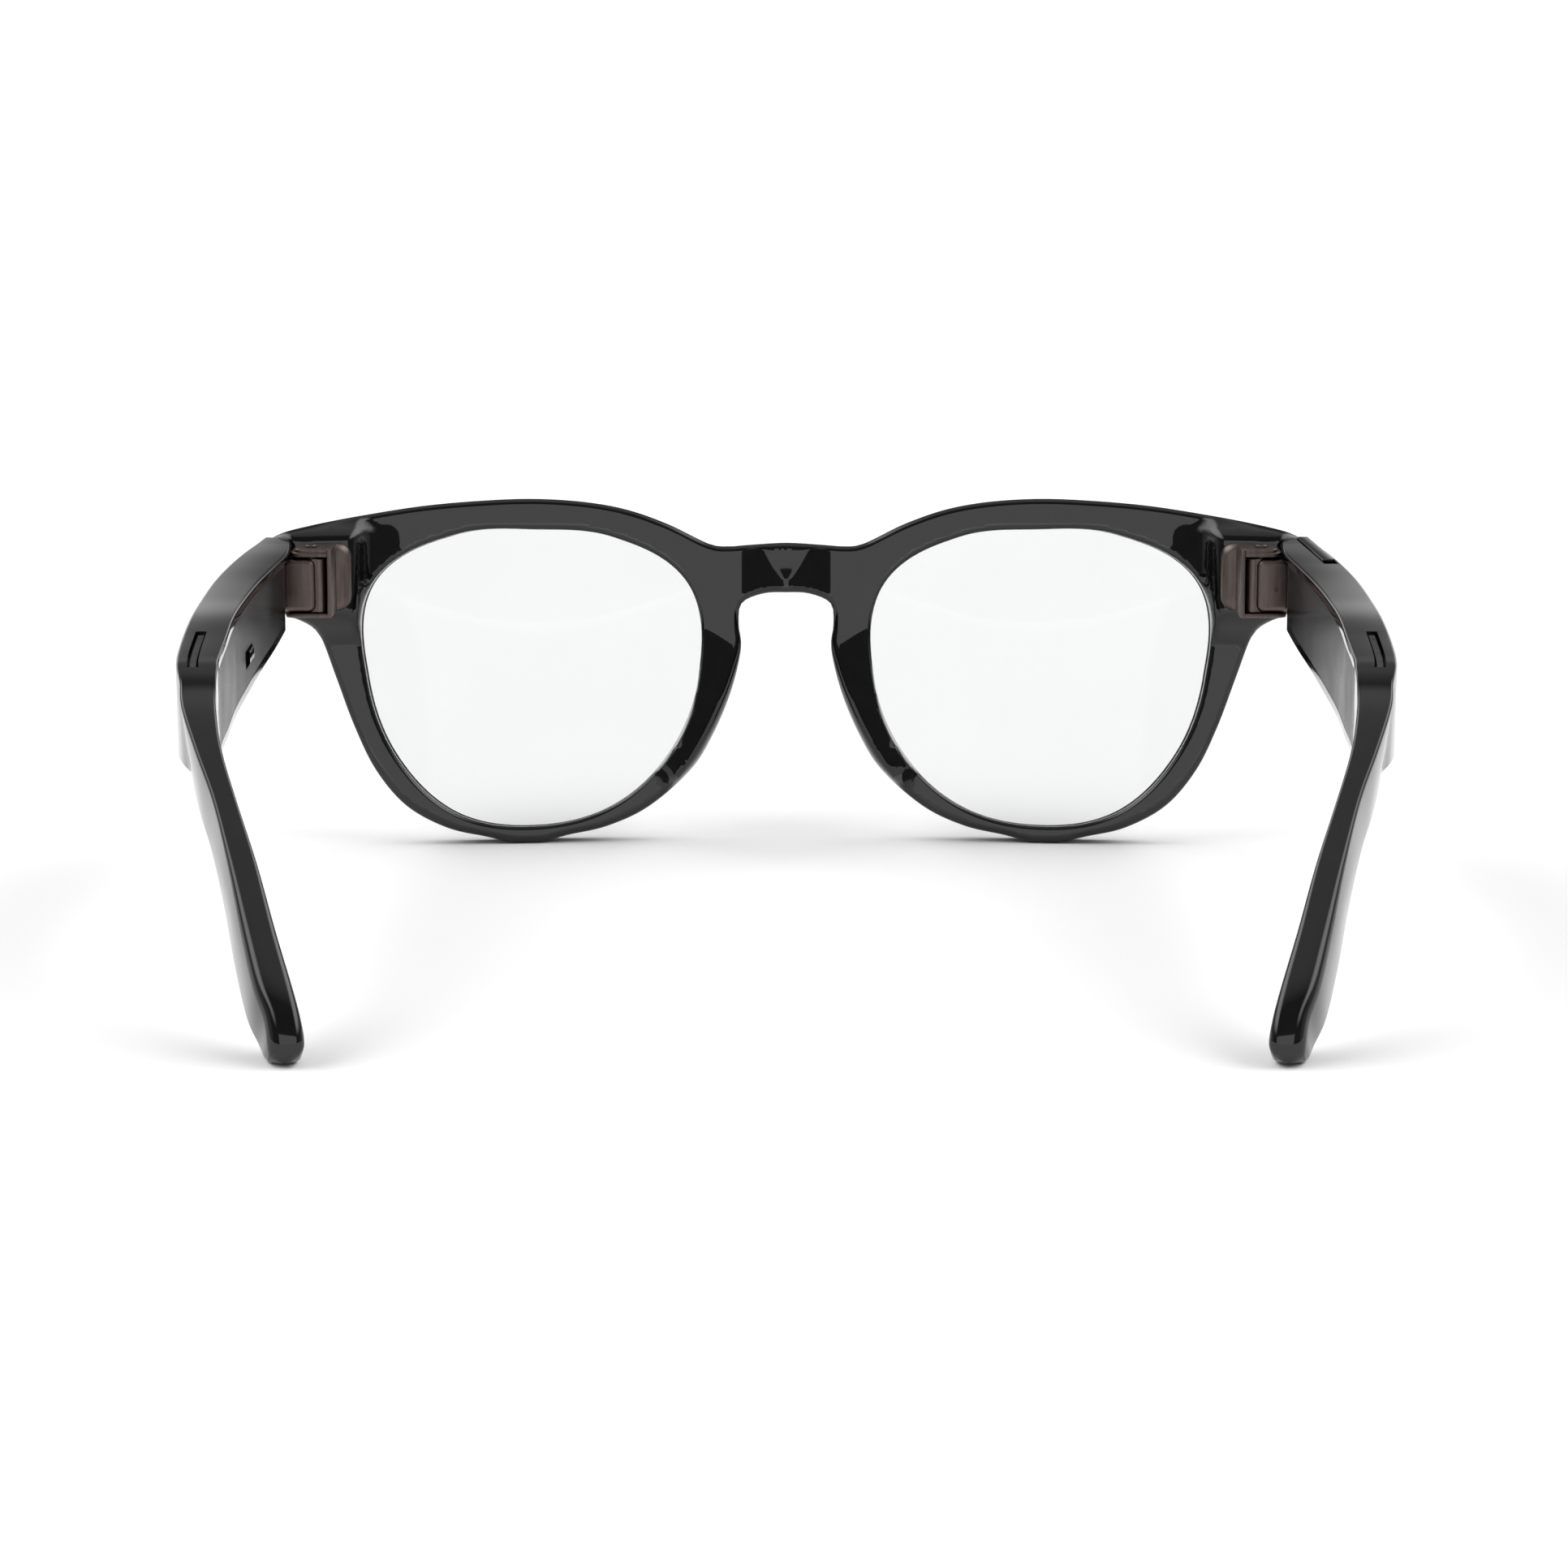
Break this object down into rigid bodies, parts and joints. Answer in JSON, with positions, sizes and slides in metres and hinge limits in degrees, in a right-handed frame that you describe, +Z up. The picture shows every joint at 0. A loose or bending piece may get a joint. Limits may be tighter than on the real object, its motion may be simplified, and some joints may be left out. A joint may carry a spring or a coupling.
{
  "type": "smart glasses",
  "caption": "Smart glasses with a glossy front, clear lenses, a camera end piece, pinned hinges and folding electronics temples.",
  "frame": {"origin": "on the surface the open glasses stand on, under the middle of their bounding box", "axes": "+X to the wearer's right, +Y forward out of the lenses, +Z up"},
  "size_m": [0.1544, 0.1494, 0.0493],
  "materials": {
    "frame_black": "high gloss black acetate-like plastic",
    "lens_clear": "clear, uncoated",
    "module_glass": "dark polished window",
    "module_black": "matte black",
    "circuit_board": "solder mask",
    "flex_circuit": "polyimide film",
    "module_silver": "plain can",
    "contact_gold": "gold plated",
    "hinge_bronze": "dark bronze plated",
    "pin_steel": "plain",
    "speaker_mesh": "black woven mesh"
  },
  "bodies": {
    "front": {"front_shell": "frame_black", "rear_shell": "frame_black", "lens_left": "lens_clear", "lens_right": "lens_clear", "camera_bezel": "frame_black", "camera_window": "module_glass", "camera_barrel": "module_black", "camera_board": "circuit_board", "light_bezel": "frame_black", "light_window": "module_glass", "light_board": "circuit_board", "brow_flex": "flex_circuit", "bridge_microphone": "module_silver", "charge_contact_left": "contact_gold", "charge_contact_right": "contact_gold", "hinge_plate_left": "hinge_bronze", "hinge_plate_right": "hinge_bronze", "hinge_pin_left": "pin_steel", "hinge_pin_right": "pin_steel"},
    "left_temple": {"temple_shell_left": "frame_black", "temple_cover_left": "frame_black", "hinge_leaf_left": "hinge_bronze", "speaker_left": "module_silver", "speaker_mesh_left": "speaker_mesh", "temple_microphone_left": "module_silver", "battery_cell": "module_silver", "switch_board": "circuit_board"},
    "right_temple": {"temple_shell_right": "frame_black", "temple_cover_right": "frame_black", "hinge_leaf_right": "hinge_bronze", "speaker_right": "module_silver", "speaker_mesh_right": "speaker_mesh", "temple_microphone_right": "module_silver", "main_board": "circuit_board", "processor_shield": "module_silver", "touch_sensor": "flex_circuit", "button_switch": "module_silver"},
    "slider": {"power_slider": "frame_black"},
    "button": {"capture_button": "frame_black"}
  },
  "joints": [
    {"name": "left_temple_fold", "type": "hinge", "parent": "front", "child": "left_temple", "pos_m": [-0.0668, 0.05503, 0.04], "axis": [0, 0, 1], "range_deg": [0, 88]},
    {"name": "right_temple_fold", "type": "hinge", "parent": "front", "child": "right_temple", "pos_m": [0.0668, 0.05503, 0.04], "axis": [0, 0, -1], "range_deg": [0, 79]},
    {"name": "power_switch_slide", "type": "slide", "parent": "left_temple", "child": "slider", "axis": [0, -1, 0], "range_m": [0, 0.002]},
    {"name": "capture_button_press", "type": "slide", "parent": "right_temple", "child": "button", "axis": [0, 0, -1], "range_m": [0, 0.0004], "stiffness_N_per_m": 1500}
  ]
}
